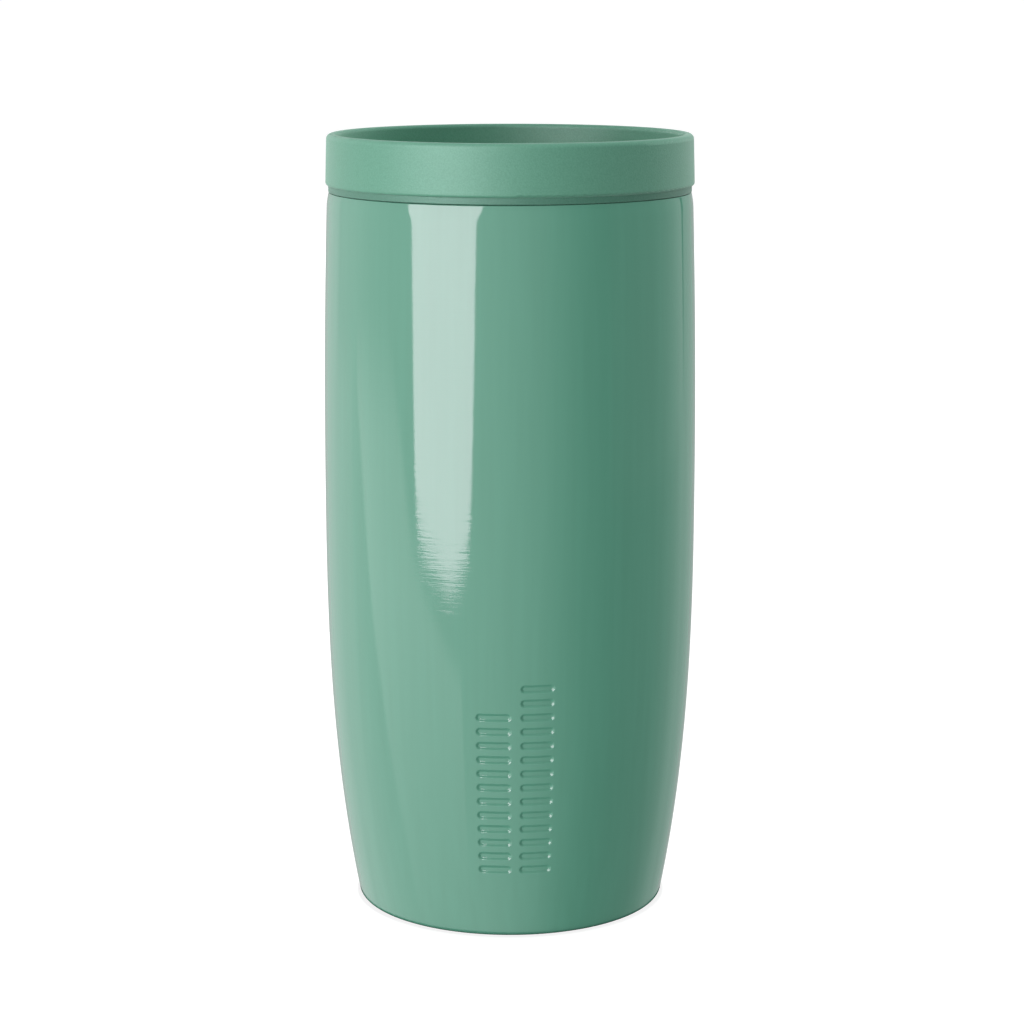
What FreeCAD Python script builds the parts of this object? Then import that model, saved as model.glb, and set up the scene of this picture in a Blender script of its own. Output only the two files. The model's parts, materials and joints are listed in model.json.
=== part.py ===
"""Insulated tumbler: double-walled steel cup, screw-in lid, flip cover over the drink opening.

Millimetres, +Z up, origin at the centre of the base on the table. The drink opening is
towards -Y. Each function returns one sub-part; the table at the end writes them all.
"""
import FreeCAD, Part
import math
import os

# ---------------------------------------------------------------- driving dimensions
# outer wall: widest at BELLY_HEIGHT, a power curve in to the foot and in to the shoulder
BELLY_RADIUS = 43.68
BELLY_HEIGHT = 101.4
FOOT_TAPER, FOOT_POWER = 7.34, 2.73
SHOULDER_TAPER, SHOULDER_POWER, SHOULDER_SPAN = 1.20, 2.11, 67.5
SHOULDER_TURN, SHOULDER_ROUND = 165.2, 17.7     # height where the lip turns in, and its radius
LIP_HEIGHT = 168.9              # top of the steel cup
LIP_FILLET = 0.4

SHELL_WALL = 0.6                # outer steel sheet
LINER_WALL = 0.4                # inner steel sheet
MOUTH_RADIUS = 39.6             # straight bore of the mouth
FOOT_BORE = 32.5                # opening in the foot that takes the welded base
FOOT_FLANGE_TOP = 3.2
BASE_TOP = 3.5                  # top of the welded base plate
COVER_BOTTOM = 0.8              # recess of the cover plate under the foot
PORT_RADIUS, DIMPLE_RISE = 0.8, 1.5     # vacuum port and the dimple that holds its bead
LINER_BOTTOM = 6.5              # underside of the inner cup
LINER_FLOOR_RADIUS = 24.0

# grip bars pressed into the front of the wall: two columns of round-ended grooves
BAR_HALF_WIDTH, BAR_DEPTH = 0.95, 0.45
BAR_SHEET = 0.5                 # sheet left behind a groove
BAR_PITCH = 3.35
BAR_COLUMNS = [                 # first and last angle from the front (-Y), lowest height, count
    (-9.25, -0.85, 17.0, 12),
    (4.45, 12.35, 17.0, 14),
]

# pellet and strap on the base plate, inside the vacuum
GETTER_Y, GETTER_RADIUS, GETTER_HEIGHT = 14.0, 4.0, 2.0
STRAP_SHEET, STRAP_HALF_WIDTH, STRAP_FOOT = 0.3, 2.5, 3.5

# four-start screw thread between the mouth and the lid plug
THREAD_STARTS = 4
THREAD_LEAD = 16.0
RIDGE_ARC, LUG_ARC = 66.0, 40.0     # degrees of turn that each one covers
RIDGE_HEIGHT = 158.5                # middle of a ridge
RIDGE_CREST = 38.6
LUG_CREST = 39.3
LUG_DROP = 1.55                     # lug centre below its ridge's centre, screwed home
THREAD_SINK = 0.3                   # how deep a ridge or lug is rooted in its wall

# lid
PLUG_RADIUS, PLUG_WALL = 38.3, 2.2
PLUG_BOTTOM = 153.5
SEAT_GAP = 0.1                      # between the steel lip and the closed lid
NECK_BOTTOM, NECK_TOP = LIP_HEIGHT + SEAT_GAP, 170.5
NECK_RADIUS, NECK_LEDGE = 42.2, 169.75          # flange that covers the lip
SHADOW_RADIUS, SHADOW_BOTTOM = 42.0, 169.9      # shallow step between the flange and the ring
RING_RADIUS_LOW, RING_RADIUS_HIGH = 42.85, 42.50
RIM_TOP = 182.3
RECESS_RADIUS_TOP, RECESS_RADIUS_DECK = 40.05, 39.60
DECK_TOP, DECK_BOTTOM = 171.5, 169.5
GROOVE_RADIUS, GROOVE_LOW, GROOVE_HIGH = 37.1, 163.6, 168.0
PLUG_FLOOR = 2.0                    # thickness of the plug's bottom
GASKET_RADIUS = 39.5
SLOT_Y, SLOT_RADIUS, SLOT_HALF = -29.5, 4.5, 4.0    # drink opening: centre, end radius, half run
VENT_Y, VENT_RADIUS = -9.0, 1.5
DUCT_WALL = 1.2

# flip cover and its hinge
HINGE_Y, HINGE_Z = -2.0, DECK_TOP + 3.0
PIN_RADIUS, PIN_HALF = 1.25, 15.9
PIN_CLEARANCE = 0.05
BARREL_RADIUS = 2.6
FLIP_HALF_WIDTH = 12.0
FLIP_NOSE_Y = -36.5
FLIP_BOTTOM, FLIP_TOP = DECK_TOP + 0.5, DECK_TOP + 4.1
NOSE_ROUND, FLIP_EDGE = 9.0, 1.0    # corners of the nose in plan, and its top edge
TAB_HALF_WIDTH, TAB_DEPTH, TAB_RISE, TAB_SETBACK = 6.5, 2.8, 3.6, 0.4
LUG_RADIUS, LUG_INNER, LUG_OUTER = 2.8, 12.4, 15.6
SEAL_GAP = 0.05                     # between a closed seal and the deck
SEAL_RIM, VENT_RIM = 1.3, 1.1       # how far each seal reaches past its opening
SEAL_POCKET, VENT_POCKET = 1.2, 0.9     # depth of each seal's pocket in the flip cover
BOSS_DROP, NUB_DROP = 1.7, 0.7      # how far each seal hangs into its opening

Z_AXIS = FreeCAD.Vector(0, 0, 1)
ORIGIN = FreeCAD.Vector(0, 0, 0)


# ---------------------------------------------------------------- outlines
def wall_radius(z):
    """Radius of the outer wall at height z."""
    if z < BELLY_HEIGHT:
        return BELLY_RADIUS - FOOT_TAPER * ((BELLY_HEIGHT - z) / BELLY_HEIGHT) ** FOOT_POWER
    radius = BELLY_RADIUS - SHOULDER_TAPER * ((z - BELLY_HEIGHT) / SHOULDER_SPAN) ** SHOULDER_POWER
    return radius - max(z - SHOULDER_TURN, 0) ** 2 / (2 * SHOULDER_ROUND)


def wall_slope(z):
    """How fast the wall's radius grows with height."""
    step = 0.01
    return (wall_radius(z + step) - wall_radius(z - step)) / (2 * step)


def wall_point(z, depth):
    """Point a given depth inside the outer wall, square to it."""
    slope = wall_slope(z)
    length = math.hypot(1.0, slope)
    return FreeCAD.Vector(wall_radius(z) - depth / length, 0, z + depth * slope / length)


def wall_curve(depth, z_start, z_end, count=11):
    """Smooth edge that follows the wall at a depth, for use in an outline."""
    heights = [z_start + (z_end - z_start) * i / (count - 1) for i in range(count)]
    curve = Part.BSplineCurve()
    curve.interpolate([wall_point(z, depth) for z in heights])
    return curve.toShape()


def wall_corner(depth, z_near, z, fillet):
    """Corner where the wall, carried on straight from z_near, meets height z."""
    near = wall_point(z_near, depth)
    return corner(near.x + wall_slope(z_near) * (z - near.z), z, fillet)


def corner(r, z, fillet=0.0):
    """One corner of an outline, rounded if a fillet is given."""
    return (FreeCAD.Vector(r, 0, z), fillet)


def step_ends(step):
    """First and last point of one step of an outline: a corner or an edge."""
    if isinstance(step, tuple):
        return step[0], step[0]
    first, last = step.firstVertex().Point, step.lastVertex().Point
    return first, last


def rounded(before, at, after, radius):
    """Start, middle and end of the arc that rounds a corner."""
    to_before = (before - at).normalize()
    to_after = (after - at).normalize()
    half = to_before.getAngle(to_after) / 2
    inward = (to_before + to_after).normalize()
    reach = radius / math.tan(half)
    middle = at + inward * (radius / math.sin(half) - radius)
    return at + to_before * reach, middle, at + to_after * reach


def outline(steps):
    """Closed face in the XZ plane through corners and edges, in order."""
    edges, ends = [], []
    for i, step in enumerate(steps):
        if not isinstance(step, tuple):
            edges.append([step])
            ends.append(step_ends(step))
            continue
        at, fillet = step
        if not fillet:
            edges.append([])
            ends.append((at, at))
            continue
        before = step_ends(steps[i - 1])[1]
        after = step_ends(steps[(i + 1) % len(steps)])[0]
        start, middle, end = rounded(before, at, after, fillet)
        edges.append([Part.Arc(start, middle, end).toShape()])
        ends.append((start, end))
    path = []
    for i, own in enumerate(edges):
        path += own
        start, end = ends[i][1], ends[(i + 1) % len(edges)][0]
        if start.distanceToPoint(end) > 1e-6:
            path.append(Part.LineSegment(start, end).toShape())
    return Part.Face(Part.Wire(Part.__sortEdges__(path)))


def turned(steps):
    """Solid made by turning an outline about the tumbler's axis."""
    return outline(steps).revolve(ORIGIN, Z_AXIS, 360)


def cylinder(radius, z_low, z_high, x=0.0, y=0.0):
    return Part.makeCylinder(radius, z_high - z_low, FreeCAD.Vector(x, y, z_low))


def box(x_low, x_high, y_low, y_high, z_low, z_high):
    low = FreeCAD.Vector(x_low, y_low, z_low)
    return Part.makeBox(x_high - x_low, y_high - y_low, z_high - z_low, low)


def long_hole(radius, half_run, y, z_low, z_high):
    """Upright solid with round ends, its long way along X."""
    left, right = -half_run, half_run
    bottom = FreeCAD.Vector(0, y, z_low)

    def at(x, dy):
        return bottom + FreeCAD.Vector(x, dy, 0)

    wire = Part.Wire([
        Part.LineSegment(at(left, -radius), at(right, -radius)).toShape(),
        Part.Arc(at(right, -radius), at(right + radius, 0), at(right, radius)).toShape(),
        Part.LineSegment(at(right, radius), at(left, radius)).toShape(),
        Part.Arc(at(left, radius), at(left - radius, 0), at(left, -radius)).toShape(),
    ])
    return Part.Face(wire).extrude(FreeCAD.Vector(0, 0, z_high - z_low))


def along_x(radius, x_low, x_high):
    """Cylinder on the hinge axis."""
    start = FreeCAD.Vector(x_low, HINGE_Y, HINGE_Z)
    return Part.makeCylinder(radius, x_high - x_low, start, FreeCAD.Vector(1, 0, 0))


def edges_where(shape, test):
    """Edges whose whole bounding box passes a test."""
    return [edge for edge in shape.Edges if test(edge.BoundBox)]


# ---------------------------------------------------------------- steel cup
def grip_bars(extra):
    """Round-ended bars along the grip grooves, fatter than a groove by an extra radius."""
    round_radius = (BAR_HALF_WIDTH ** 2 + BAR_DEPTH ** 2) / (2 * BAR_DEPTH)
    pieces = []
    for first, last, low, count in BAR_COLUMNS:
        for i in range(count):
            middle = wall_point(low + BAR_PITCH * i, BAR_DEPTH - round_radius)
            section = Part.Face(Part.Wire(Part.makeCircle(
                round_radius + extra, middle, FreeCAD.Vector(0, 1, 0))))
            section.rotate(ORIGIN, Z_AXIS, first - 90)
            ends = []
            for angle in (first, last):
                turn = math.radians(angle - 90)
                ends.append(Part.makeSphere(round_radius + extra, FreeCAD.Vector(
                    middle.x * math.cos(turn), middle.x * math.sin(turn), middle.z)))
            pieces.append(section.revolve(ORIGIN, Z_AXIS, last - first).multiFuse(ends))
    return pieces


def outer_shell():
    """Enamelled outer sheet: foot flange, belly wall with its pressed bars, turned-in lip."""
    lip_start = LIP_HEIGHT - 0.6
    solid = turned([
        corner(0, 0),
        wall_corner(0, 2.5, 0, 1.4),
        wall_curve(0, 2.5, SHOULDER_TURN),
        wall_curve(0, SHOULDER_TURN, lip_start, 5),
        wall_corner(0, lip_start, LIP_HEIGHT, LIP_FILLET),
        corner(0, LIP_HEIGHT),
    ])
    lip_underside = LIP_HEIGHT - SHELL_WALL
    inside = turned([
        corner(0, FOOT_FLANGE_TOP), corner(FOOT_BORE + SHELL_WALL, FOOT_FLANGE_TOP),
        corner(FOOT_BORE + SHELL_WALL, SHELL_WALL, 0.2),
        wall_corner(SHELL_WALL, 3.0, SHELL_WALL, 0.7),
        wall_curve(SHELL_WALL, 3.0, SHOULDER_TURN),
        wall_curve(SHELL_WALL, SHOULDER_TURN, lip_underside - 0.7, 4),
        wall_corner(SHELL_WALL, lip_underside - 0.7, lip_underside, 0.3),
        corner(0, lip_underside),
    ])
    mouth = cylinder(MOUTH_RADIUS + LINER_WALL, lip_underside - 1, LIP_HEIGHT + 1)
    foot_round = 0.9
    foot_bore = turned([
        corner(0, -1), corner(FOOT_BORE + foot_round, -1), corner(FOOT_BORE + foot_round, 0),
        Part.Arc(FreeCAD.Vector(FOOT_BORE + foot_round, 0, 0),
                 FreeCAD.Vector(FOOT_BORE + foot_round * (1 - math.sqrt(0.5)), 0,
                                foot_round * (1 - math.sqrt(0.5))),
                 FreeCAD.Vector(FOOT_BORE, 0, foot_round)).toShape(),
        corner(FOOT_BORE, FOOT_FLANGE_TOP + 1), corner(0, FOOT_FLANGE_TOP + 1),
    ])
    sheet = solid.cut(inside.fuse(mouth)).cut(foot_bore)
    backs = [bar.common(solid) for bar in grip_bars(BAR_SHEET)]
    return sheet.multiFuse(backs).cut(grip_bars(0))


def helix_bar(root_radius, crest_radius, root_half, crest_half, arc, z_middle, turn):
    """Short piece of screw thread: a trapezium swept up a right-hand helix."""
    rise = THREAD_LEAD * arc / 360
    helix = Part.makeHelix(THREAD_LEAD, rise, root_radius)
    section = Part.makePolygon([
        FreeCAD.Vector(root_radius, 0, -root_half), FreeCAD.Vector(crest_radius, 0, -crest_half),
        FreeCAD.Vector(crest_radius, 0, crest_half), FreeCAD.Vector(root_radius, 0, root_half),
        FreeCAD.Vector(root_radius, 0, -root_half),
    ])
    bar = Part.Wire(helix).makePipeShell([section], True, True)
    bar.translate(FreeCAD.Vector(0, 0, z_middle - rise / 2))
    bar.rotate(ORIGIN, Z_AXIS, turn - arc / 2)
    return bar


def inner_liner():
    """Inner steel cup without its floor plate; thread ridges rolled into the mouth."""
    outer_depth = BELLY_RADIUS - MOUTH_RADIUS - LINER_WALL
    inner_depth = outer_depth + LINER_WALL
    floor_top = LINER_BOTTOM + LINER_WALL
    wall = turned([
        corner(LINER_FLOOR_RADIUS, LINER_BOTTOM),
        wall_corner(outer_depth, 14.0, LINER_BOTTOM, 5.5),
        wall_curve(outer_depth, 14.0, BELLY_HEIGHT),
        corner(MOUTH_RADIUS + LINER_WALL, LIP_HEIGHT),
        corner(MOUTH_RADIUS, LIP_HEIGHT, 0.2),
        wall_curve(inner_depth, BELLY_HEIGHT, 14.0),
        wall_corner(inner_depth, 14.0, floor_top, 5.0),
        corner(LINER_FLOOR_RADIUS, floor_top),
    ])
    ridges = [helix_bar(MOUTH_RADIUS + THREAD_SINK, RIDGE_CREST, 1.15, 0.5, RIDGE_ARC,
                        RIDGE_HEIGHT, 360 * i / THREAD_STARTS) for i in range(THREAD_STARTS)]
    return wall.multiFuse(ridges)


def liner_floor():
    """Floor plate welded into the inner cup, with a shallow stiffening step."""
    low, high = LINER_BOTTOM, LINER_BOTTOM + LINER_WALL
    rise, step_inner, step_outer, blend = 0.6, 15.0, 17.5, 2.0
    return turned([
        corner(0, low + rise), corner(step_inner, low + rise, blend),
        corner(step_outer, low, blend),
        corner(LINER_FLOOR_RADIUS, low), corner(LINER_FLOOR_RADIUS, high),
        corner(step_outer + 0.2, high, blend), corner(step_inner + 0.2, high + rise, blend),
        corner(0, high + rise),
    ])


def radiation_foil():
    """Copper foil wrapped round the inner cup inside the vacuum."""
    liner_depth = BELLY_RADIUS - MOUTH_RADIUS - LINER_WALL
    near, far = liner_depth - 0.05, liner_depth - 0.20
    foil_low, foil_top = 16.0, 150.0
    return turned([
        wall_curve(far, foil_low, BELLY_HEIGHT),
        corner(BELLY_RADIUS - far, foil_top), corner(BELLY_RADIUS - near, foil_top),
        wall_curve(near, BELLY_HEIGHT, foil_low),
    ])


def outer_base():
    """Base plate welded into the foot, with the raised dimple of the vacuum port."""
    low, high = BASE_TOP - SHELL_WALL, BASE_TOP
    edge = FOOT_BORE - SHELL_WALL
    return turned([
        corner(PORT_RADIUS, low + DIMPLE_RISE), corner(5.0, low + DIMPLE_RISE, 0.5),
        corner(7.0, low, 0.5), corner(edge, low, 0.4), corner(edge, COVER_BOTTOM),
        corner(FOOT_BORE, COVER_BOTTOM + 0.2), corner(FOOT_BORE, high, 0.9),
        corner(7.3, high, 0.5), corner(5.3, high + DIMPLE_RISE, 0.5),
        corner(PORT_RADIUS, high + DIMPLE_RISE),
    ])


def vacuum_seal():
    """Glass bead melted over the vacuum port."""
    port_bottom = BASE_TOP - SHELL_WALL + DIMPLE_RISE
    bead_radius, bead_drop, plug_rise = 3.4, 1.1, 0.6
    return turned([
        corner(0, port_bottom - bead_drop), corner(2.8, port_bottom - 0.9, 0.8),
        corner(bead_radius, port_bottom), corner(PORT_RADIUS, port_bottom),
        corner(PORT_RADIUS, port_bottom + 0.5), corner(0, port_bottom + plug_rise),
    ])


def base_cover():
    """Bright plate that closes the foot over the vacuum port, dished in the middle."""
    edge = FOOT_BORE - SHELL_WALL
    low, dish, sheet = COVER_BOTTOM, COVER_BOTTOM + 0.5, 0.5
    dish_inner, dish_outer, blend = 22.0, 23.0, 0.8
    return turned([
        corner(0, dish), corner(dish_inner, dish, blend), corner(dish_outer, low, blend),
        corner(edge, low, 0.25), corner(edge, low + sheet),
        corner(dish_outer + 0.3, low + sheet, blend),
        corner(dish_inner + 0.3, dish + sheet, blend), corner(0, dish + sheet),
    ])


def getter():
    """Sintered pellet that soaks up the last gas in the vacuum."""
    return cylinder(GETTER_RADIUS, BASE_TOP, BASE_TOP + GETTER_HEIGHT, 0, GETTER_Y)


def getter_clip():
    """Bent steel strap spot-welded to the base plate over the pellet."""
    inner, outer = GETTER_RADIUS, GETTER_RADIUS + STRAP_SHEET
    low, top = BASE_TOP, BASE_TOP + GETTER_HEIGHT
    y_low, y_high = GETTER_Y - STRAP_HALF_WIDTH, GETTER_Y + STRAP_HALF_WIDTH
    bridge = box(-outer, outer, y_low, y_high, top, top + STRAP_SHEET)
    legs = []
    for side in (-1, 1):
        x_low, x_high = sorted((side * inner, side * outer))
        legs.append(box(x_low, x_high, y_low, y_high, low, top))
        x_low, x_high = sorted((side * inner, side * (outer + STRAP_FOOT)))
        legs.append(box(x_low, x_high, y_low, y_high, low, low + STRAP_SHEET))
    return bridge.multiFuse(legs).removeSplitter()


# ---------------------------------------------------------------- lid
def lid_gasket():
    """Silicone ring with two lips that wipe the mouth."""
    back, heel, root = GROOVE_RADIUS + 0.05, 38.4, 38.5
    low, high = GROOVE_LOW + 0.1, GROOVE_HIGH - 0.1
    steps = [corner(back, low), corner(heel, low, 0.2)]
    for lip in (low + 0.5, low + 2.6):
        steps += [corner(root, lip, 0.15), corner(GASKET_RADIUS, lip + 0.5, 0.15),
                  corner(GASKET_RADIUS, lip + 0.9, 0.15), corner(root, lip + 1.0, 0.15)]
    return turned(steps + [corner(heel, high, 0.2), corner(back, high)])


def lid_base():
    """Plug that screws into the mouth, with the neck flange and the two ducts."""
    inner = PLUG_RADIUS - PLUG_WALL
    floor_top = PLUG_BOTTOM + PLUG_FLOOR
    plug = turned([
        corner(0, PLUG_BOTTOM), corner(PLUG_RADIUS, PLUG_BOTTOM, 1.5),
        corner(PLUG_RADIUS, GROOVE_LOW), corner(GROOVE_RADIUS, GROOVE_LOW),
        corner(GROOVE_RADIUS, GROOVE_HIGH), corner(PLUG_RADIUS, GROOVE_HIGH),
        corner(PLUG_RADIUS, NECK_BOTTOM), corner(NECK_RADIUS, NECK_BOTTOM, 0.2),
        corner(NECK_RADIUS, NECK_LEDGE, 0.15), corner(SHADOW_RADIUS, SHADOW_BOTTOM),
        corner(SHADOW_RADIUS, NECK_TOP), corner(inner, NECK_TOP),
        corner(inner, floor_top, 1.0), corner(0, floor_top),
    ])
    lugs = [helix_bar(PLUG_RADIUS - THREAD_SINK, LUG_CREST, 0.9, 0.5, LUG_ARC,
                      RIDGE_HEIGHT - LUG_DROP, 360 * i / THREAD_STARTS)
            for i in range(THREAD_STARTS)]
    ducts = [
        long_hole(SLOT_RADIUS + DUCT_WALL, SLOT_HALF, SLOT_Y, PLUG_BOTTOM + 1, DECK_BOTTOM),
        cylinder(VENT_RADIUS + DUCT_WALL, PLUG_BOTTOM + 1, DECK_BOTTOM, 0, VENT_Y),
    ]
    return plug.multiFuse(lugs + ducts).cut(deck_holes(PLUG_BOTTOM - 1))


def deck_holes(z_low):
    """The drink opening and the vent, as one cutting tool."""
    slot = long_hole(SLOT_RADIUS, SLOT_HALF, SLOT_Y, z_low, DECK_TOP + 1)
    return slot.fuse(cylinder(VENT_RADIUS, z_low, DECK_TOP + 1, 0, VENT_Y))


def lid_foam():
    """Insulating foam that fills the plug round its ducts."""
    gap = 0.1
    radius = PLUG_RADIUS - PLUG_WALL - gap
    low, high = PLUG_BOTTOM + PLUG_FLOOR + gap, DECK_BOTTOM - gap
    puck = turned([corner(0, low), corner(radius, low, 1.0), corner(radius, high), corner(0, high)])
    slot = long_hole(SLOT_RADIUS + DUCT_WALL + gap, SLOT_HALF, SLOT_Y, low - 1, high + 1)
    vent = cylinder(VENT_RADIUS + DUCT_WALL + gap, low - 1, high + 1, 0, VENT_Y)
    return puck.cut(slot.fuse(vent))


def lid_shell():
    """Upper moulding: outer ring, recess, deck with its openings, and the hinge lugs."""
    spigot = PLUG_RADIUS - PLUG_WALL - 0.05
    shell = turned([
        corner(0, DECK_BOTTOM), corner(spigot, DECK_BOTTOM), corner(spigot, NECK_TOP),
        corner(RING_RADIUS_LOW, NECK_TOP, 0.7), corner(RING_RADIUS_HIGH, RIM_TOP, 1.2),
        corner(RECESS_RADIUS_TOP, RIM_TOP, 0.9), corner(RECESS_RADIUS_DECK, DECK_TOP, 1.5),
        corner(0, DECK_TOP),
    ])
    lugs = []
    for x_low, x_high in ((-LUG_OUTER, -LUG_INNER), (LUG_INNER, LUG_OUTER)):
        foot = box(x_low, x_high, HINGE_Y - LUG_RADIUS, HINGE_Y + LUG_RADIUS,
                   DECK_TOP - 0.5, HINGE_Z)
        lugs.append(foot.fuse(along_x(LUG_RADIUS, x_low, x_high)))
    pin_bore = along_x(PIN_RADIUS, -PIN_HALF - 1, PIN_HALF + 1)
    return shell.multiFuse(lugs).removeSplitter().cut(deck_holes(DECK_BOTTOM - 1)).cut(pin_bore)


def flip_hinge_pin():
    """Steel pin held in the lid's lugs; the flip cover turns on it."""
    pin = along_x(PIN_RADIUS, -PIN_HALF, PIN_HALF)
    return pin.makeFillet(0.3, pin.Edges[:1] + pin.Edges[2:])


def flip_plan(z_low, z_high):
    """Flip cover seen from above: straight sides and a nose with round corners."""
    plate = box(-FLIP_HALF_WIDTH, FLIP_HALF_WIDTH, FLIP_NOSE_Y, HINGE_Y, z_low, z_high)
    upright = edges_where(plate, lambda b: b.ZLength > 1 and b.YMax < FLIP_NOSE_Y + 1)
    return plate.makeFillet(NOSE_ROUND, upright)


def flip_cover():
    """Cover that swings up and back, with a finger tab at its nose and seal pockets below."""
    plate = flip_plan(FLIP_BOTTOM, FLIP_TOP)
    top_edges = edges_where(
        plate, lambda b: b.ZMin > FLIP_TOP - 0.01 and b.YMin < HINGE_Y - 1)
    plate = plate.makeFillet(FLIP_EDGE, top_edges)
    tab_front = FLIP_NOSE_Y + TAB_SETBACK
    tab = box(-TAB_HALF_WIDTH, TAB_HALF_WIDTH, tab_front, tab_front + TAB_DEPTH,
              FLIP_TOP - 2, FLIP_TOP + TAB_RISE)
    tab = tab.makeFillet(1.2, edges_where(tab, lambda b: b.ZMax > FLIP_TOP + 3 and b.ZLength < 1
                                          or b.ZLength > 3))
    barrel = along_x(BARREL_RADIUS, -FLIP_HALF_WIDTH, FLIP_HALF_WIDTH)
    body = plate.multiFuse([tab, barrel])
    pockets = [
        long_hole(SLOT_RADIUS + SEAL_RIM, SLOT_HALF, SLOT_Y, FLIP_BOTTOM - 1,
                  FLIP_BOTTOM + SEAL_POCKET),
        cylinder(VENT_RADIUS + VENT_RIM, FLIP_BOTTOM - 1, FLIP_BOTTOM + VENT_POCKET, 0, VENT_Y),
        along_x(PIN_RADIUS + PIN_CLEARANCE, -FLIP_HALF_WIDTH - 1, FLIP_HALF_WIDTH + 1),
    ]
    for pocket in pockets:
        body = body.cut(pocket)
    return body


def drink_seal():
    """Silicone pad in the flip cover; its boss drops into the drink opening."""
    low = DECK_TOP + SEAL_GAP
    bottom = DECK_TOP - BOSS_DROP
    pad = long_hole(SLOT_RADIUS + SEAL_RIM, SLOT_HALF, SLOT_Y, low, FLIP_BOTTOM + SEAL_POCKET)
    boss = long_hole(SLOT_RADIUS - 0.8, SLOT_HALF, SLOT_Y, bottom, low)
    boss = boss.makeFillet(0.8, edges_where(boss, lambda b: b.ZMax < bottom + 0.01))
    return pad.fuse(boss)


def vent_seal():
    """Small silicone button in the flip cover that closes the vent."""
    low = DECK_TOP + SEAL_GAP
    pad = cylinder(VENT_RADIUS + VENT_RIM, low, FLIP_BOTTOM + VENT_POCKET, 0, VENT_Y)
    nub = Part.makeCone(0.5, 1.1, NUB_DROP, FreeCAD.Vector(0, VENT_Y, low - NUB_DROP))
    return pad.fuse(nub)


# ---------------------------------------------------------------- write the sub-parts
SUB_PARTS = [
    outer_shell, inner_liner, liner_floor, radiation_foil, outer_base, vacuum_seal, base_cover,
    getter, getter_clip, lid_gasket, lid_base, lid_foam, lid_shell, flip_hinge_pin,
    flip_cover, drink_seal, vent_seal,
]

os.makedirs("parts", exist_ok=True)
for make in SUB_PARTS:
    shape = make()
    name = make.__name__
    shape.exportStep("parts/" + name + ".step")
    bounds = shape.BoundBox
    print("%-16s solids %d  valid %s  volume %9.1f  z %7.2f to %7.2f" % (
        name, len(shape.Solids), shape.isValid(), shape.Volume, bounds.ZMin, bounds.ZMax))
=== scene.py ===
"""Studio scene of the insulated tumbler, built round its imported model.

Metres, +Z up, the drink opening towards -Y. The outer shell gets a finer mesh here, with soft
edges on its pressed bars, and the plug a flush neck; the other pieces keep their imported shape.
"""
import bpy
import json
import math
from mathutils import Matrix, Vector


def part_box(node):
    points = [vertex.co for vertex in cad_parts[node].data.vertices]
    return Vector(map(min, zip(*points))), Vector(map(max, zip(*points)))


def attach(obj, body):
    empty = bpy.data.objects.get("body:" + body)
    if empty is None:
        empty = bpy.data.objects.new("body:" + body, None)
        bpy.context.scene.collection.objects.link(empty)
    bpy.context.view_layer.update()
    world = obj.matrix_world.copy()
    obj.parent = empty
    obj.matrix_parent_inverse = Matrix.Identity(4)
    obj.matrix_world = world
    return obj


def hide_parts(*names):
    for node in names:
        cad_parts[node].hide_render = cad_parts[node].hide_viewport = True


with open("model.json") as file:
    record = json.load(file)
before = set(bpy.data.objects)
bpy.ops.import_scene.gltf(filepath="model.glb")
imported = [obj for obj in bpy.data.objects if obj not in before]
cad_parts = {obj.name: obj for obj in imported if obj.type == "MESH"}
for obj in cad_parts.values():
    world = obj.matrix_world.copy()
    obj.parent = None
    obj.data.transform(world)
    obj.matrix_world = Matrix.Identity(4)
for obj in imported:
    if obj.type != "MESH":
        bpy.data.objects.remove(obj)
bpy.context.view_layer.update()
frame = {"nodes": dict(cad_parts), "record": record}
nodes = frame["nodes"]

MM = 0.001

# ---------------------------------------------------------------- dimensions, millimetres
shell_low, shell_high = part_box("outer_shell")
LIP_HEIGHT = shell_high[2] / MM

# outer wall: widest at BELLY_HEIGHT, a power curve in to the foot and in to the shoulder
BELLY_RADIUS = -shell_low[1] / MM
BELLY_HEIGHT = 101.4
FOOT_TAPER, FOOT_POWER = 7.34, 2.73
SHOULDER_TAPER, SHOULDER_POWER, SHOULDER_SPAN = 1.20, 2.11, 67.5
SHOULDER_TURN, SHOULDER_ROUND = 165.2, 17.7     # height where the lip turns in, and its radius
SHELL_WALL = 0.6
MOUTH_OUTER = 40.0
FOOT_BORE, FOOT_FLANGE_TOP = 32.5, 3.2
FOOT_ROUND = 0.9                # inner edge of the foot
HEEL_HEIGHT, HEEL_FILLET = 2.5, 1.4             # outer edge of the foot
LIP_FILLET = 0.3
LINING_TOP, LINING_FILLET = 165.0, 0.4          # where the sheet's inner face turns to the lip
LINING_LOW, LINING_LOW_FILLET = 3.0, 0.7        # and where it turns in over the foot

# pressed grip bars: first and last angle from the front, lowest height, count
BAR_COLUMNS = [(-9.25, -0.85, 17.0, 12), (4.45, 12.35, 17.0, 14)]
BAR_PITCH = 3.35
BAR_HALF_WIDTH = 1.06           # with the soft edge
BAR_FLAT = 0.30                 # share of the half width along the groove's bottom
BAR_DEPTH = 0.45

# spacing of the shell's mesh: degrees round the axis, millimetres up the wall
FINE_STEP, FINE_COUNT = 0.16, 12                # on each side of a bar's end
PLAIN_STEP = 0.6                                # between two ends
COARSE_STEP, STEP_GROWTH = 1.5, 1.25            # round the plain back
LEAST_STEP = 0.09
ACROSS_STEP, ACROSS_COUNT = 0.14, 9             # on each side of a bar's middle

# neck of the lid's plug, and where the shallow step above its flange starts
NECK_RADIUS = 42.2
STEP_LOW, STEP_INNER = 169.55, 41.9


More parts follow.
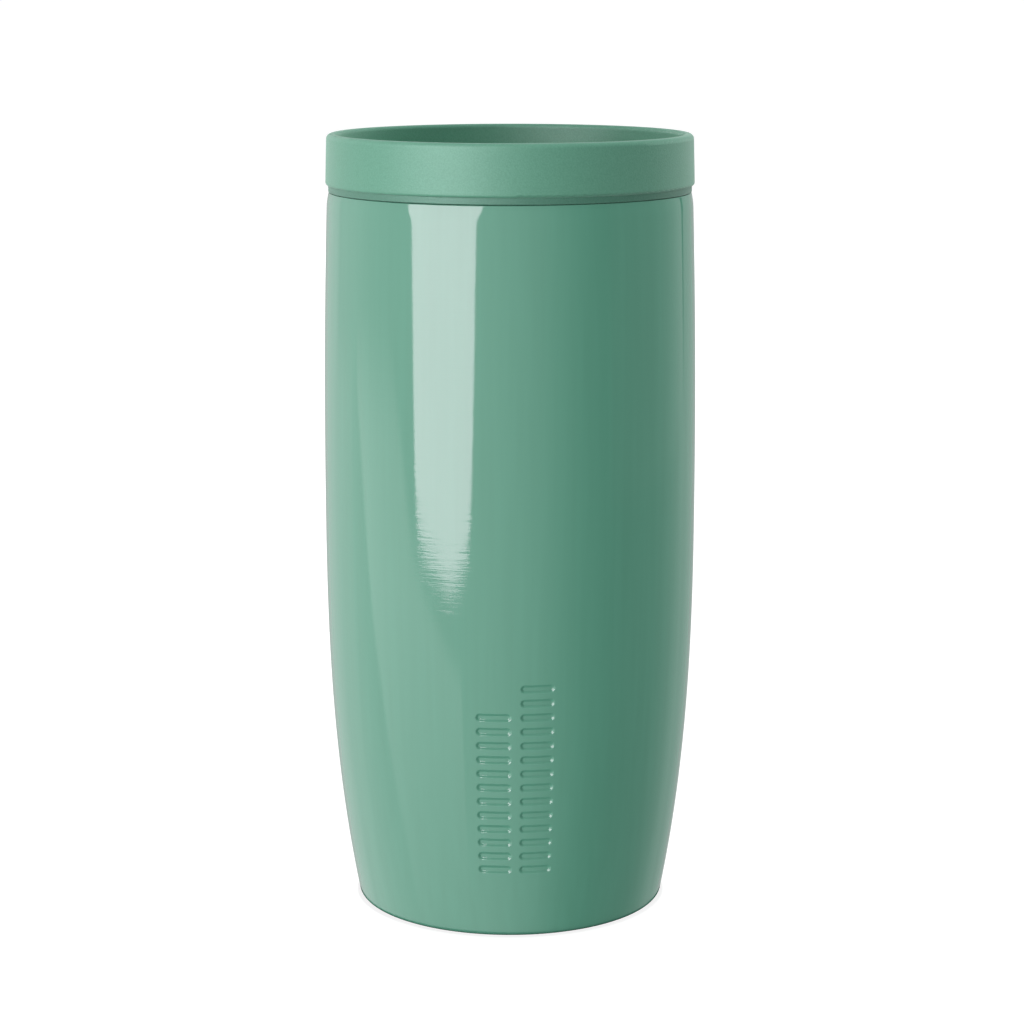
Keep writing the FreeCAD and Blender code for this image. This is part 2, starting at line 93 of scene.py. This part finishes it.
# ---------------------------------------------------------------- outlines
def wall_radius(z):
    """Radius of the outer wall at height z."""
    if z < BELLY_HEIGHT:
        return BELLY_RADIUS - FOOT_TAPER * ((BELLY_HEIGHT - z) / BELLY_HEIGHT) ** FOOT_POWER
    radius = BELLY_RADIUS - SHOULDER_TAPER * ((z - BELLY_HEIGHT) / SHOULDER_SPAN) ** SHOULDER_POWER
    return radius - max(z - SHOULDER_TURN, 0) ** 2 / (2 * SHOULDER_ROUND)


def wall_slope(z):
    """How fast the wall's radius grows with height."""
    step = 0.01
    return (wall_radius(z + step) - wall_radius(z - step)) / (2 * step)


def wall_point(z, depth=0.0):
    """(radius, height) of the point a given depth inside the wall, square to it at height z."""
    slope = wall_slope(z)
    length = math.hypot(1.0, slope)
    return (wall_radius(z) - depth / length, z + depth * slope / length)


def wall_corner(depth, z_near, z, fillet):
    """Corner where the wall, carried on straight from z_near at a depth, meets height z."""
    r_near, h_near = wall_point(z_near, depth)
    return (r_near + wall_slope(z_near) * (z - h_near), z, fillet)


def rounded(corners, steps=8):
    """Outline through (radius, height, fillet) corners, each fillet an arc of short steps."""
    points = []
    for i, (r, z, fillet) in enumerate(corners):
        at = Vector((r, z))
        if not fillet:
            points.append((r, z))
            continue
        before = Vector(corners[i - 1][:2])
        after = Vector(corners[(i + 1) % len(corners)][:2])
        u, w = (before - at).normalized(), (after - at).normalized()
        half = u.angle(w) / 2
        inward = (u + w).normalized()
        centre = at + inward * (fillet / math.sin(half))
        start = at + u * (fillet / math.tan(half)) - centre
        sweep = start.angle_signed(at + w * (fillet / math.tan(half)) - centre)
        for k in range(steps + 1):
            turn = -sweep * k / steps
            c, s = math.cos(turn), math.sin(turn)
            points.append((centre.x + start.x * c - start.y * s,
                           centre.y + start.x * s + start.y * c))
    return points


# ---------------------------------------------------------------- mesh helpers
def new_piece(name, verts, faces):
    """Smooth-shaded object from vertices in millimetres."""
    mesh = bpy.data.meshes.new(name)
    mesh.from_pydata([(x * MM, y * MM, z * MM) for x, y, z in verts], [], faces)
    mesh.validate()
    piece = bpy.data.objects.new(name, mesh)
    bpy.context.scene.collection.objects.link(piece)
    mesh.shade_smooth()
    mesh.set_sharp_from_angle(angle=math.radians(35))
    return piece


# ---------------------------------------------------------------- outer shell
def bar_depth(angle, z):
    """How deep the wall is pressed in at an angle from the front and a height."""
    for first, last, low, count in BAR_COLUMNS:
        index = min(max(round((z - low) / BAR_PITCH), 0), count - 1)
        beside = (angle - min(max(angle, first), last)) * math.radians(1) * wall_radius(z)
        distance = math.hypot(beside, z - low - index * BAR_PITCH) / BAR_HALF_WIDTH
        if distance < 1:
            t = max(distance - BAR_FLAT, 0) / (1 - BAR_FLAT)
            return BAR_DEPTH * (1 - t * t * (3 - 2 * t))
    return 0.0


def bar_rows():
    """Heights of mesh rows: close together across every bar, wider elsewhere."""
    low = BAR_COLUMNS[0][2]
    count = max(column[3] for column in BAR_COLUMNS)
    offsets = [k * ACROSS_STEP for k in range(-ACROSS_COUNT, ACROSS_COUNT + 1)]
    offsets.append(BAR_PITCH / 2)
    rows = [low - 2.4, low - 2.0, low - BAR_PITCH / 2]
    rows += [low + i * BAR_PITCH + offset for i in range(count) for offset in offsets]
    return rows


def shell_columns():
    """Angles of mesh columns from the front: fine at the bars' ends, wider elsewhere."""
    ends = sorted(edge for column in BAR_COLUMNS for edge in column[:2])
    fine = []
    for edge in ends:
        fine += [edge + FINE_STEP * k for k in range(-FINE_COUNT, FINE_COUNT + 1)]
    for left, right in zip(ends, ends[1:]):
        start, stop = left + FINE_STEP * FINE_COUNT, right - FINE_STEP * FINE_COUNT
        if stop - start > PLAIN_STEP:
            parts = max(round((stop - start) / PLAIN_STEP), 1)
            fine += [start + (stop - start) * k / parts for k in range(1, parts)]
    fine = sorted(fine)
    cleaned = [fine[0]]
    for angle in fine[1:]:
        if angle - cleaned[-1] > LEAST_STEP:
            cleaned.append(angle)
    angle, step = cleaned[-1], FINE_STEP
    stop = cleaned[0] + 360
    while stop - angle > 2 * step:
        # the step grows from the last bar's end, and shrinks again towards the first one's
        step = min(step * STEP_GROWTH, COARSE_STEP)
        rest = math.log((stop - angle) / (4 * FINE_STEP), STEP_GROWTH)
        back = FINE_STEP * STEP_GROWTH ** max(rest / 2, 0)
        angle += min(step, max(back, FINE_STEP))
        cleaned.append(angle)
    return cleaned


def shell_outline():
    """Closed outline of the shell as (radius, height, on_wall) points."""
    foot = [(FOOT_BORE, FOOT_FLANGE_TOP), (FOOT_BORE, FOOT_ROUND)]
    for k in range(1, 7):
        turn = math.radians(15 * k)
        foot.append((FOOT_BORE + FOOT_ROUND * (1 - math.cos(turn)),
                     FOOT_ROUND * (1 - math.sin(turn))))
    heel = rounded([foot[-1] + (0,), wall_corner(0, HEEL_HEIGHT, 0, HEEL_FILLET),
                    wall_point(HEEL_HEIGHT) + (0,)])[1:-1]
    heights = [HEEL_HEIGHT + k * 1.1 for k in range(12)] + bar_rows()
    top_row, plain_top = heights[-1], 163.5
    heights += [top_row + (plain_top - top_row) * k / 52 for k in range(1, 53)]
    heights += [164.2, 164.9, 165.4, 165.9, 166.4, 166.9, 167.4, 167.9, 168.3]
    wall = [wall_point(z) for z in heights]
    lip = rounded([wall[-1] + (0,), wall_corner(0, heights[-1], LIP_HEIGHT, LIP_FILLET),
                   (MOUTH_OUTER, LIP_HEIGHT, 0)])[1:]
    lip_low = LIP_HEIGHT - SHELL_WALL
    inside = [(MOUTH_OUTER, lip_low)]
    inside += rounded([inside[0] + (0,),
                       wall_corner(SHELL_WALL, LINING_TOP, lip_low, LINING_FILLET),
                       wall_point(LINING_TOP, SHELL_WALL) + (0,)], 4)[1:-1]
    inside += [wall_point(LINING_TOP - 9.0 * k, SHELL_WALL) for k in range(19)]
    inside += rounded([inside[-1] + (0,),
                       wall_corner(SHELL_WALL, LINING_LOW, SHELL_WALL, LINING_LOW_FILLET),
                       (FOOT_BORE + SHELL_WALL, SHELL_WALL, 0)], 4)[1:]
    inside.append((FOOT_BORE + SHELL_WALL, FOOT_FLANGE_TOP))
    marked = [(r, z, False) for r, z in foot + heel]
    marked += [(r, z, True) for r, z in wall]
    marked += [(r, z, False) for r, z in lip + inside]
    return marked


def make_outer_shell():
    """Outer sheet turned from its outline, with the bars pressed in and true wall normals."""
    outline, columns = shell_outline(), shell_columns()

    def place(angle, r, z, on_wall):
        turn = math.radians(angle)
        if on_wall:
            r -= bar_depth(angle, z)
        return Vector((r * math.sin(turn), -r * math.cos(turn), z))

    verts, faces = [], []
    rows, cols = len(outline), len(columns)
    for r, z, on_wall in outline:
        verts += [place(angle, r, z, on_wall) for angle in columns]
    for i in range(rows):
        j = (i + 1) % rows
        for k in range(cols):
            n = (k + 1) % cols
            faces.append((i * cols + k, i * cols + n, j * cols + n, j * cols + k))
    piece = new_piece("outer_shell_enamelled", verts, faces)
    normals = [v.normal.copy() for v in piece.data.vertices]
    step = 0.02
    for i, (r, z, on_wall) in enumerate(outline):
        if not on_wall:
            continue
        for k, angle in enumerate(columns):
            side = math.degrees(step / r)
            sideways = place(angle + side, r, z, True) - place(angle - side, r, z, True)
            up = (place(angle, wall_radius(z + step), z + step, True)
                  - place(angle, wall_radius(z - step), z - step, True))
            normals[i * cols + k] = sideways.cross(up).normalized()
    piece.data.normals_split_custom_set_from_vertices(normals)
    return piece


def make_plug():
    """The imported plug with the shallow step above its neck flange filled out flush."""
    plug = nodes["lid_base"]
    mesh = plug.data.copy()
    normals = [corner.vector.copy() for corner in mesh.corner_normals]
    flush = set()
    for vertex in mesh.vertices:
        reach = math.hypot(vertex.co.x, vertex.co.y)
        if vertex.co.z > STEP_LOW * MM and reach > STEP_INNER * MM:
            vertex.co.x *= NECK_RADIUS * MM / reach
            vertex.co.y *= NECK_RADIUS * MM / reach
            flush.add(vertex.index)
    for face in mesh.polygons:
        if flush.issuperset(face.vertices):
            for corner, index in zip(face.loop_indices, face.vertices):
                at = mesh.vertices[index].co
                normals[corner] = Vector((at.x, at.y, 0)).normalized()
    mesh.normals_split_custom_set(normals)
    piece = bpy.data.objects.new("lid_plug_flush", mesh)
    piece.matrix_world = plug.matrix_world.copy()
    bpy.context.scene.collection.objects.link(piece)
    return piece


# ---------------------------------------------------------------- materials
def material(name):
    """Empty node material: returns it with its nodes, links and Principled shader."""
    made = bpy.data.materials.new(name)
    made.use_nodes = True
    tree = made.node_tree
    return made, tree.nodes, tree.links, tree.nodes["Principled BSDF"]


def srgb(red, green, blue):
    """Linear colour from 0-255 display values."""
    def line(value):
        value /= 255
        return value / 12.92 if value <= 0.04045 else ((value + 0.055) / 1.055) ** 2.4
    return (line(red), line(green), line(blue), 1.0)


def object_coords(tree_nodes, links, scale):
    """Object coordinates, stretched by a scale on each axis."""
    coords = tree_nodes.new("ShaderNodeTexCoord")
    mapping = tree_nodes.new("ShaderNodeMapping")
    mapping.inputs["Scale"].default_value = scale
    links.new(coords.outputs["Object"], mapping.inputs["Vector"])
    return mapping.outputs["Vector"]


def noise(tree_nodes, links, vector, scale, detail=2.0, rough=0.5):
    """Grey noise of a scale per metre."""
    made = tree_nodes.new("ShaderNodeTexNoise")
    made.inputs["Scale"].default_value = scale
    made.inputs["Detail"].default_value = detail
    made.inputs["Roughness"].default_value = rough
    links.new(vector, made.inputs["Vector"])
    return made.outputs["Fac"]


def fine_noise(tree_nodes, links, scale, detail=2.0, rough=0.5):
    """Grey noise, the same in every direction."""
    vector = object_coords(tree_nodes, links, (1, 1, 1))
    return noise(tree_nodes, links, vector, scale, detail, rough)


def ramp(tree_nodes, links, source, low, high, colour_low, colour_high):
    """Colours between two ends as a grey source goes from low to high."""
    made = tree_nodes.new("ShaderNodeValToRGB")
    made.color_ramp.elements[0].position = low
    made.color_ramp.elements[1].position = high
    made.color_ramp.elements[0].color = colour_low
    made.color_ramp.elements[1].color = colour_high
    links.new(source, made.inputs["Fac"])
    return made.outputs["Color"]


def bump(tree_nodes, links, height, distance, strength=1.0, normal=None):
    """Normal of a surface raised by a grey height, a distance in metres at full strength."""
    made = tree_nodes.new("ShaderNodeBump")
    made.inputs["Distance"].default_value = distance
    made.inputs["Strength"].default_value = strength
    links.new(height, made.inputs["Height"])
    if normal is not None:
        links.new(normal, made.inputs["Normal"])
    return made.outputs["Normal"]


def enamel_material():
    """Glossy enamel over steel: upright spray streaks, faint draw lines, slight orange peel."""
    made, tree_nodes, links, shader = material("enamel_gloss")
    streak = noise(tree_nodes, links, object_coords(tree_nodes, links, (1, 1, 0.04)), 420.0, 4.0)
    links.new(ramp(tree_nodes, links, streak, 0.3, 0.7, srgb(92, 152, 130), srgb(94, 155, 133)),
              shader.inputs["Base Color"])
    shader.inputs["Roughness"].default_value = 0.06
    shader.inputs["IOR"].default_value = 1.5
    lines = noise(tree_nodes, links, object_coords(tree_nodes, links, (12, 12, 480)), 3.0, 3.0, 0.6)
    peel = fine_noise(tree_nodes, links, 260.0)
    first = bump(tree_nodes, links, lines, 0.000014)
    links.new(bump(tree_nodes, links, peel, 0.000006, 1.0, first), shader.inputs["Normal"])
    return made


def lid_material(name, low, high):
    """Matte moulded plastic with a fine sand-blasted grain, between two close tones."""
    made, tree_nodes, links, shader = material(name)
    fleck = fine_noise(tree_nodes, links, 2800.0, 2.0, 0.6)
    links.new(ramp(tree_nodes, links, fleck, 0.35, 0.65, low, high), shader.inputs["Base Color"])
    shader.inputs["Roughness"].default_value = 0.50
    shader.inputs["Specular IOR Level"].default_value = 0.38
    shader.inputs["Sheen Weight"].default_value = 0.17
    shader.inputs["Sheen Roughness"].default_value = 0.45
    links.new(bump(tree_nodes, links, fleck, 0.00005), shader.inputs["Normal"])
    return made


def steel_material():
    """Brushed stainless steel; the brush lines run round the axis."""
    made, tree_nodes, links, shader = material("steel_brushed")
    coords = tree_nodes.new("ShaderNodeTexCoord")
    parts = tree_nodes.new("ShaderNodeSeparateXYZ")
    links.new(coords.outputs["Object"], parts.inputs["Vector"])
    flat = tree_nodes.new("ShaderNodeCombineXYZ")
    links.new(parts.outputs["X"], flat.inputs["X"])
    links.new(parts.outputs["Y"], flat.inputs["Y"])
    radius = tree_nodes.new("ShaderNodeVectorMath")
    radius.operation = "LENGTH"
    links.new(flat.outputs["Vector"], radius.inputs[0])
    across = tree_nodes.new("ShaderNodeCombineXYZ")
    links.new(radius.outputs["Value"], across.inputs["X"])
    links.new(parts.outputs["Z"], across.inputs["Y"])
    lines = noise(tree_nodes, links, across.outputs["Vector"], 3200.0, 3.0, 0.6)
    links.new(ramp(tree_nodes, links, lines, 0.3, 0.7, (0.66, 0.66, 0.65, 1), (0.76, 0.76, 0.75, 1)),
              shader.inputs["Base Color"])
    shader.inputs["Metallic"].default_value = 1.0
    shader.inputs["Roughness"].default_value = 0.30
    links.new(bump(tree_nodes, links, lines, 0.000012, 0.5), shader.inputs["Normal"])
    return made


def silicone_material():
    """Milky translucent silicone."""
    made, tree_nodes, links, shader = material("silicone_milky")
    cloud = fine_noise(tree_nodes, links, 300.0, 3.0)
    skin = fine_noise(tree_nodes, links, 2000.0)
    links.new(ramp(tree_nodes, links, cloud, 0.3, 0.7, srgb(214, 221, 216), srgb(224, 230, 226)),
              shader.inputs["Base Color"])
    shader.inputs["Roughness"].default_value = 0.45
    shader.inputs["Subsurface Weight"].default_value = 0.25
    shader.inputs["Subsurface Radius"].default_value = (0.002, 0.002, 0.002)
    links.new(bump(tree_nodes, links, skin, 0.00001, 0.5), shader.inputs["Normal"])
    return made


def plain_material(name, low, high, metallic, roughness, scale):
    """Two close tones in a fine noise, for the pieces sealed inside."""
    made, tree_nodes, links, shader = material(name)
    fleck = fine_noise(tree_nodes, links, scale, 4.0)
    links.new(ramp(tree_nodes, links, fleck, 0.35, 0.65, low, high), shader.inputs["Base Color"])
    shader.inputs["Metallic"].default_value = metallic
    shader.inputs["Roughness"].default_value = roughness
    links.new(bump(tree_nodes, links, fleck, 0.00004, 0.5), shader.inputs["Normal"])
    return made


def floor_material():
    """Pale floor that glows almost white by itself, so that it shows only soft shadows."""
    made, tree_nodes, links, shader = material("floor_pale")
    cloud = fine_noise(tree_nodes, links, 3.0)
    links.new(ramp(tree_nodes, links, cloud, 0.3, 0.7, (0.23, 0.23, 0.23, 1),
                   (0.25, 0.25, 0.25, 1)), shader.inputs["Base Color"])
    shader.inputs["Roughness"].default_value = 1.0
    shader.inputs["Specular IOR Level"].default_value = 0.0
    shader.inputs["Emission Color"].default_value = (1, 1, 1, 1)
    shader.inputs["Emission Strength"].default_value = 0.89
    return made


finishes = {
    "enamel": enamel_material(),
    "lid_plastic": lid_material("lid_matte", srgb(83, 142, 119), srgb(91, 150, 127)),
    # the neck's tones are the lid plastic's tones darkened: painted shade under the lid's ring
    "neck_plastic": lid_material("neck_painted_shade", srgb(66, 118, 99), srgb(73, 125, 106)),
    "steel": steel_material(),
    "silicone": silicone_material(),
    "copper_foil": plain_material("copper_foil", (0.62, 0.25, 0.13, 1), (0.72, 0.32, 0.18, 1),
                                  1.0, 0.25, 400.0),
    "glass_bead": plain_material("sealing_glass", (0.05, 0.055, 0.06, 1), (0.08, 0.085, 0.09, 1),
                                 0.0, 0.12, 900.0),
    "getter": plain_material("getter_sinter", (0.04, 0.04, 0.045, 1), (0.08, 0.08, 0.085, 1),
                             0.6, 0.75, 3000.0),
    "foam": plain_material("foam_rigid", (0.74, 0.72, 0.64, 1), (0.82, 0.80, 0.73, 1),
                           0.0, 0.9, 1500.0),
}


def finish_piece(piece, body, slot, *cad_nodes):
    """Ride and material, picked by a record slot's finish, of a new piece that stands for CAD nodes,
    which it hides.
    """
    piece.data.materials.clear()
    piece.data.materials.append(finishes[slot])
    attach(piece, body)
    if cad_nodes:
        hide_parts(*cad_nodes)


for part in frame["record"]["subparts"]:
    node = nodes[part["node"]]
    node.data.materials.clear()
    node.data.materials.append(finishes[part["material_slot"]])

finish_piece(make_outer_shell(), "cup", "enamel", "outer_shell")
finish_piece(make_plug(), "lid", "neck_plastic", "lid_base")


# ---------------------------------------------------------------- studio
def stage_piece(name, verts, faces, made_of):
    """Part of the studio, in metres; it isn't part of the tumbler."""
    mesh = bpy.data.meshes.new(name)
    mesh.from_pydata(verts, [], faces)
    mesh.materials.append(made_of)
    piece = bpy.data.objects.new(name, mesh)
    bpy.context.scene.collection.objects.link(piece)
    return piece


def seen_by(thing, camera=False, diffuse=False, glossy=False, shadow=False):
    """Which rays meet a light or a part of the studio."""
    thing.visible_camera = camera
    thing.visible_diffuse = diffuse
    thing.visible_glossy = glossy
    thing.visible_transmission = glossy
    thing.visible_shadow = shadow


def around(azimuth, distance, z):
    """Point round the tumbler: azimuth in degrees from the camera side, positive to the right."""
    turn = math.radians(azimuth)
    return Vector((distance * math.sin(turn), -distance * math.cos(turn), z))


def panel_light(name, size, place, aim, radiance):
    """Rectangular soft light of a given brightness."""
    data = bpy.data.lights.new(name, "AREA")
    data.shape = "RECTANGLE"
    data.size, data.size_y = size
    data.energy = radiance * size[0] * size[1] * math.pi
    lamp = bpy.data.objects.new(name, data)
    bpy.context.scene.collection.objects.link(lamp)
    lamp.location = place
    lamp.rotation_euler = (Vector(aim) - Vector(place)).to_track_quat("-Z", "Y").to_euler()
    return lamp


# brightness that the gloss mirrors, by azimuth: bright left, dark front right, soft behind
SURROUND = [
    (-180, 0.36), (-165, 0.55), (-150, 0.88), (-131, 1.20), (-130, 0.97), (-121, 1.24),
    (-110, 1.48), (-104, 1.54), (-70, 1.60), (-22, 1.55), (-10, 1.40), (0, 1.20), (19, 0.80),
    (30, 0.45), (45, 0.12), (60, 0.0), (99, 0.22), (127, 0.58), (132, 0.62), (136, 0.54),
    (150, 0.53), (165, 0.48), (180, 0.42),
]
SURROUND_PEAK = 2.0


def tones(tree_nodes, links, source, stops):
    """Greys along a source from 0 to 1, from (position, grey) stops."""
    made = tree_nodes.new("ShaderNodeValToRGB")
    points = made.color_ramp.elements
    while len(points) < len(stops):
        points.new(0.5)
    for point, (position, grey) in zip(points, stops):
        point.position = position
        point.color = (grey, grey, grey, 1)
    links.new(source, made.inputs["Fac"])
    return made.outputs["Color"]


def surround_material():
    """Glow that changes with azimuth as SURROUND says."""
    made, tree_nodes, links, shader = material("surround_glow")
    tree_nodes.remove(shader)
    coords = tree_nodes.new("ShaderNodeTexCoord")
    turn = tree_nodes.new("ShaderNodeTexGradient")
    turn.gradient_type = "RADIAL"
    links.new(coords.outputs["Object"], turn.inputs["Vector"])
    stops = [((azimuth + 180) / 360, level / SURROUND_PEAK) for azimuth, level in SURROUND]
    tone = tones(tree_nodes, links, turn.outputs["Fac"], stops)
    glow = tree_nodes.new("ShaderNodeEmission")
    glow.inputs["Strength"].default_value = SURROUND_PEAK
    links.new(tone, glow.inputs["Color"])
    links.new(glow.outputs["Emission"], tree_nodes["Material Output"].inputs["Surface"])
    return made


def surround():
    """Round wall of soft light that only the gloss mirrors, dim above and below it."""
    sides, radius, low, high = 96, 1.0, -1.10, 0.90
    verts, faces = [], []
    for k in range(sides):
        turn = 2 * math.pi * k / sides
        for z in (low, high):
            verts.append((radius * math.cos(turn), radius * math.sin(turn), z))
        n = (k + 1) % sides
        faces.append((2 * k, 2 * n, 2 * n + 1, 2 * k + 1))
    wall = stage_piece("surround", verts, faces, surround_material())
    # the gradient's middle is on its own +X side, which is turned to face the camera side
    wall.rotation_euler = (0, 0, math.radians(-90))
    seen_by(wall, glossy=True)
    for name, first, level in (("surround_below", 0, 0.12), ("surround_above", 1, 0.45)):
        cap = stage_piece(name, verts, [tuple(range(first, 2 * sides, 2))],
                          glow_material(name, level))
        seen_by(cap, glossy=True)
    skylight = [tuple(around(k * 7.5, 0.4, high - 0.02)) for k in range(48)]
    seen_by(stage_piece("skylight", skylight, [tuple(range(48))], glow_material("skylight", 0.8)),
            glossy=True)


def glow_material(name, level, tint=(1, 1, 1), added=False, heights=None):
    """Glow; an added one lets what is behind it through.

    heights are (height, level) pairs from the lowest up, for a glow that changes with height.
    """
    made, tree_nodes, links, shader = material(name)
    tree_nodes.remove(shader)
    glow = tree_nodes.new("ShaderNodeEmission")
    glow.inputs["Strength"].default_value = level
    glow.inputs["Color"].default_value = tint + (1,)
    if heights:
        low, high = heights[0][0], heights[-1][0]
        coords = tree_nodes.new("ShaderNodeTexCoord")
        parts = tree_nodes.new("ShaderNodeSeparateXYZ")
        height = tree_nodes.new("ShaderNodeMapRange")
        height.inputs["From Min"].default_value = low
        height.inputs["From Max"].default_value = high
        links.new(coords.outputs["Object"], parts.inputs["Vector"])
        links.new(parts.outputs["Z"], height.inputs["Value"])
        stops = [((z - low) / (high - low), at / level) for z, at in heights]
        links.new(tones(tree_nodes, links, height.outputs["Result"], stops), glow.inputs["Color"])
    result = glow.outputs["Emission"]
    if added:
        both = tree_nodes.new("ShaderNodeAddShader")
        clear = tree_nodes.new("ShaderNodeBsdfTransparent")
        links.new(result, both.inputs[0])
        links.new(clear.outputs["BSDF"], both.inputs[1])
        result = both.outputs["Shader"]
    links.new(result, tree_nodes["Material Output"].inputs["Surface"])
    return made


def mirror_patch(name, columns, distance, made_of):
    """Curved panel round the tumbler that only the gloss mirrors.

    Each column is an azimuth with its lowest and highest point; the edge runs straight from one
    column to the next.
    """
    verts, faces = [], []
    for azimuth, low, high in columns:
        verts += [tuple(around(azimuth, distance, low)), tuple(around(azimuth, distance, high))]
    faces = [(2 * k, 2 * k + 2, 2 * k + 3, 2 * k + 1) for k in range(len(columns) - 1)]
    patch = stage_piece(name, verts, faces, made_of)
    seen_by(patch, glossy=True)
    return patch


def blend_columns(corners, top, parts=6):
    """Columns of a patch whose lower edge is a spline through (azimuth, height) corners."""
    columns = []
    for k, (start, end) in enumerate(zip(corners, corners[1:])):
        before = corners[max(k - 1, 0)]
        after = corners[min(k + 2, len(corners) - 1)]
        for i in range(parts):
            t = i / parts
            point = []
            for a, b, c, d in zip(before, start, end, after):
                point.append(b + t * ((c - a) + t * ((2 * a - 5 * b + 4 * c - d)
                                                     + t * (3 * (b - c) + d - a))) / 2)
            columns.append((point[0], point[1], top))
    return columns + [(corners[-1][0], corners[-1][1], top)]


def mirror_patches():
    """What the gloss shows: a tall key panel, glows on the left, a card on the right."""
    key_edge = [(-66.0, 0.420), (-62.5, 0.200), (-60.0, 0.060), (-58.2, -0.066), (-53.0, -0.104),
                (-44.0, -0.122), (-37.0, -0.137), (-30.0, -0.124), (-24.5, -0.094),
                (-22.0, -0.020), (-20.4, 0.110), (-17.0, 0.450)]
    mirror_patch("key_panel", blend_columns(key_edge, 1.2), 0.95,
                 glow_material("key_glow", 9.2, (1.0, 0.88, 0.955)))
    glow_columns = [(-106, 0.0, 0.05), (-98, -0.10, 0.06), (-88, -0.26, 0.06), (-78, -0.50, 0.05),
                    (-70, -1.08, -0.02), (-62, -1.08, -0.10), (-44, -1.08, -0.19),
                    (-30, -1.08, -0.25)]
    glow_heights = [(-0.80, 0.0), (-0.45, 0.40), (-0.14, 1.05), (-0.03, 0.95), (0.06, 0.0)]
    mirror_patch("left_glow", glow_columns, 0.98,
                 glow_material("left_glow", 1.05, added=True, heights=glow_heights))
    low_glow = [(-0.90, 0.04), (-0.30, 0.14), (-0.01, 0.20), (0.04, 0.0)]
    mirror_patch("left_low", [(a, -1.08, 0.05) for a in (-130.5, -124, -118, -112)], 0.985,
                 glow_material("left_low", 0.20, added=True, heights=low_glow))
    card_edge = [(62.5, -0.064), (85.0, -0.067), (104.0, -0.057), (117.5, -0.044),
                 (127.0, -0.026), (131.5, 0.010), (134.0, 0.150)]
    mirror_patch("right_card", blend_columns(card_edge, 1.2), 0.95,
                 glow_material("right_card", 0.10, added=True))
    line_edge = [(132.0, -0.02), (133.0, 0.030), (135.0, 0.160)]
    mirror_patch("card_edge", [(a, z, 1.2) for a, z in line_edge], 0.94,
                 glow_material("card_edge", 0.0))


def backdrop():
    """Far white wall behind the floor's edge, for low views."""
    sides, radius, height = 64, 50.0, 40.0
    verts, faces = [], []
    for k in range(sides):
        turn = 2 * math.pi * k / sides
        for z in (-1.0, height):
            verts.append((radius * math.cos(turn), radius * math.sin(turn), z))
        n = (k + 1) % sides
        faces.append((2 * k, 2 * n, 2 * n + 1, 2 * k + 1))
    seen_by(stage_piece("backdrop", verts, faces, glow_material("backdrop_white", 1.0)),
            camera=True)


def floor():
    """Plain floor just under the foot."""
    reach, drop = 60.0, -0.00002
    verts = [(-reach, -reach, drop), (reach, -reach, drop), (reach, reach, drop),
             (-reach, reach, drop)]
    seen_by(stage_piece("floor", verts, [(0, 1, 2, 3)], floor_material()),
            camera=True, shadow=True)


def contact_shade_patch():
    """Black ring where the foot meets the floor, hidden from the camera: painted shade that darkens
    the foot's lowest edge.
    """
    sides, inner, outer = 96, 0.001, 0.0372
    verts, faces = [], []
    for k in range(sides):
        turn = 2 * math.pi * k / sides
        for radius in (inner, outer):
            verts.append((radius * math.cos(turn), radius * math.sin(turn), -0.00001))
        n = (k + 1) % sides
        faces.append((2 * k, 2 * k + 1, 2 * n + 1, 2 * n))
    seen_by(stage_piece("contact_shade_patch", verts, faces, glow_material("contact_painted_shade", 0.0)),
            diffuse=True, glossy=True, shadow=True)


floor()
contact_shade_patch()
backdrop()
surround()

AMBIENT = 0.50
world = bpy.data.worlds.new("studio")
world.use_nodes = True
world.node_tree.nodes["Background"].inputs["Color"].default_value = (1, 1, 1, 1)
world.node_tree.nodes["Background"].inputs["Strength"].default_value = AMBIENT
bpy.context.scene.world = world


def soft_light(name, azimuth, elevation, size, level, distance=1.6):
    """Diffuse-only light that adds a level, in units of full white, to a face turned to it."""
    rise = math.radians(elevation)
    aim = Vector((0, 0, 0.1))
    place = aim + around(azimuth, distance * math.cos(rise), distance * math.sin(rise))
    radiance = level * math.pi * distance ** 2 / (size[0] * size[1])
    seen_by(panel_light(name, size, place, aim, radiance), diffuse=True)


soft_light("key", -38, 0, (0.9, 0.16), 0.53)      # lower than the lid's rim
soft_light("back_left", -120, 15, (0.8, 0.8), 0.25)
soft_light("back_right", 125, 15, (0.8, 0.8), 0.54)
soft_light("rim_left", -158, 10, (0.8, 0.8), 0.30)
soft_light("rim_right", 158, 10, (0.8, 0.8), 0.40)
soft_light("overhead", 0, 90, (1.2, 1.2), 0.44)

mirror_patches()

bpy.context.scene.view_settings.view_transform = "Standard"

# ---------------------------------------------------------------- camera
camera_data = bpy.data.cameras.new("camera")
camera = bpy.data.objects.new("camera", camera_data)
bpy.context.scene.collection.objects.link(camera)
LENS, PITCH_DOWN = 96.65, 10.983                # millimetres, degrees
camera_data.sensor_width = 36.0
camera_data.lens = LENS
camera.location = (0.00045, -0.6416, 0.2174)
camera.rotation_euler = (math.radians(90 - PITCH_DOWN), 0, 0)
bpy.context.scene.camera = camera
